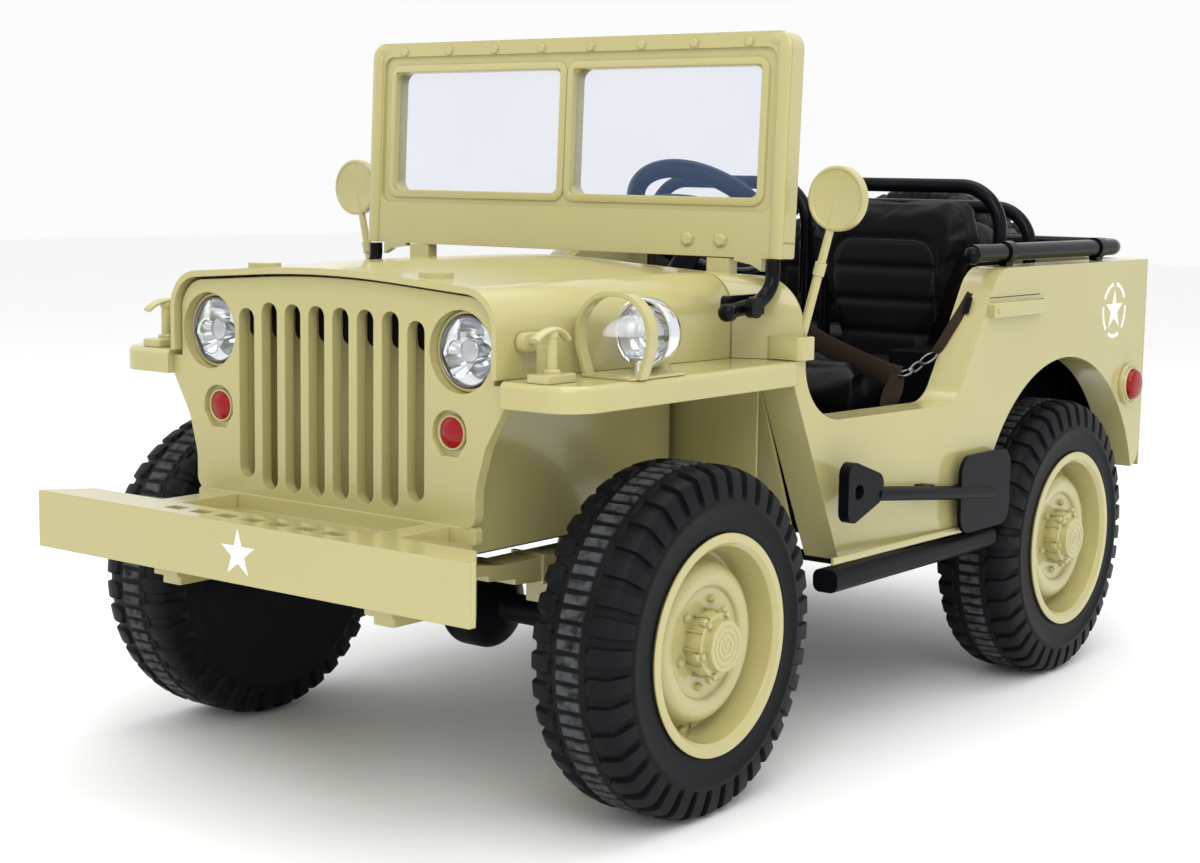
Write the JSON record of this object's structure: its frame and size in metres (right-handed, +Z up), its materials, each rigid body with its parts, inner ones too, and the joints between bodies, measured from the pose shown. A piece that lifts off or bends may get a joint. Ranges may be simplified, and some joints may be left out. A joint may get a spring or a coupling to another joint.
{
  "type": "ride-on toy car",
  "caption": "Child's battery ride-on toy shaped like an open army field car, with steered wheels, opening hood, folding windshield, seats and spare wheel.",
  "frame": {"origin": "middle of the bounding box at the floor, on the centre line of the car", "axes": "+X to the car's left, -Y to its front, +Z up"},
  "size_m": [0.846, 1.622, 0.8662],
  "materials": {
    "sand_plastic": "satin",
    "black_plastic": "satin",
    "tyre_plastic": "matt",
    "clear_pane": "clear",
    "lamp_lens": "clear lens over a bright bowl",
    "red_lens": "gloss",
    "seat_cover": "grained"
  },
  "bodies": {
    "car": {"front_axle": "black_plastic", "rear_axle": "black_plastic", "chassis_rails": "black_plastic", "chassis_crossmembers": "black_plastic", "leaf_springs": "sand_plastic", "front_bumper": "sand_plastic", "grille": "sand_plastic", "radiator_backing": "sand_plastic", "headlamps": "lamp_lens", "marker_lamps": "red_lens", "front_fender_left": "sand_plastic", "front_fender_right": "sand_plastic", "engine_bay_panels": "sand_plastic", "cowl": "sand_plastic", "dashboard": "black_plastic", "tub_side_left": "sand_plastic", "tub_side_right": "sand_plastic", "tub_floor": "black_plastic", "tub_tail": "sand_plastic", "windshield_pivots": "black_plastic", "steering_column": "black_plastic", "front_seat_cushions": "seat_cover", "front_seat_backs": "seat_cover", "front_seat_frames": "black_plastic", "rear_seat_cushion": "seat_cover", "rear_seat_back": "seat_cover", "rear_seat_frame": "black_plastic", "rear_rail": "black_plastic", "mirrors": "sand_plastic", "spotlight": "lamp_lens", "spotlight_guard": "sand_plastic", "hood_latches": "sand_plastic", "side_lamps": "red_lens", "side_steps": "black_plastic", "shovel": "black_plastic", "spare_carrier": "black_plastic", "battery": "black_plastic", "spare_tyre": "tyre_plastic", "spare_rim": "sand_plastic"},
    "hood": {"hood": "sand_plastic"},
    "windshield": {"windshield_frame": "sand_plastic", "windshield_glass": "clear_pane", "windshield_arms": "black_plastic"},
    "steering": {"steering_wheel": "black_plastic"},
    "steered_left": {"knuckle_left": "black_plastic"},
    "steered_right": {"knuckle_right": "black_plastic"},
    "wheel_front_left": {"tyre_front_left": "tyre_plastic", "rim_front_left": "sand_plastic"},
    "wheel_front_right": {"tyre_front_right": "tyre_plastic", "rim_front_right": "sand_plastic"},
    "wheel_rear_left": {"tyre_rear_left": "tyre_plastic", "rim_rear_left": "sand_plastic"},
    "wheel_rear_right": {"tyre_rear_right": "tyre_plastic", "rim_rear_right": "sand_plastic"}
  },
  "joints": [
    {"name": "hood_hinge", "type": "hinge", "parent": "car", "child": "hood", "pos_m": [0, -0.2805, 0.6], "axis": [-1, 0, 0], "range_deg": [0, 60]},
    {"name": "windshield_fold", "type": "hinge", "parent": "car", "child": "windshield", "pos_m": [0, -0.33, 0.551], "axis": [-1, 0, 0], "range_deg": [-90, 0]},
    {"name": "steer_left", "type": "hinge", "parent": "car", "child": "steered_left", "pos_m": [0.255, -0.478, 0.195], "axis": [0, 0, 1], "range_deg": [-25, 25]},
    {"name": "steer_right", "type": "hinge", "parent": "car", "child": "steered_right", "pos_m": [-0.255, -0.478, 0.195], "axis": [0, 0, 1], "range_deg": [-25, 25]},
    {"name": "steering_turn", "type": "hinge", "parent": "car", "child": "steering", "pos_m": [0.142, -0.15, 0.6386], "axis": [0, 0.6984, 0.7157], "range_deg": [-75, 75]},
    {"name": "front_left_spin", "type": "hinge", "parent": "steered_left", "child": "wheel_front_left", "pos_m": [0.342, -0.478, 0.195], "axis": [1, 0, 0], "continuous": true},
    {"name": "front_right_spin", "type": "hinge", "parent": "steered_right", "child": "wheel_front_right", "pos_m": [-0.342, -0.478, 0.195], "axis": [1, 0, 0], "continuous": true},
    {"name": "rear_left_spin", "type": "hinge", "parent": "car", "child": "wheel_rear_left", "pos_m": [0.342, 0.4, 0.195], "axis": [1, 0, 0], "continuous": true},
    {"name": "rear_right_spin", "type": "hinge", "parent": "car", "child": "wheel_rear_right", "pos_m": [-0.342, 0.4, 0.195], "axis": [1, 0, 0], "continuous": true}
  ],
  "couplings": [
    {"joint": "steer_right", "follows": "steer_left", "ratio": 1},
    {"joint": "steering_turn", "follows": "steer_left", "ratio": 3}
  ]
}
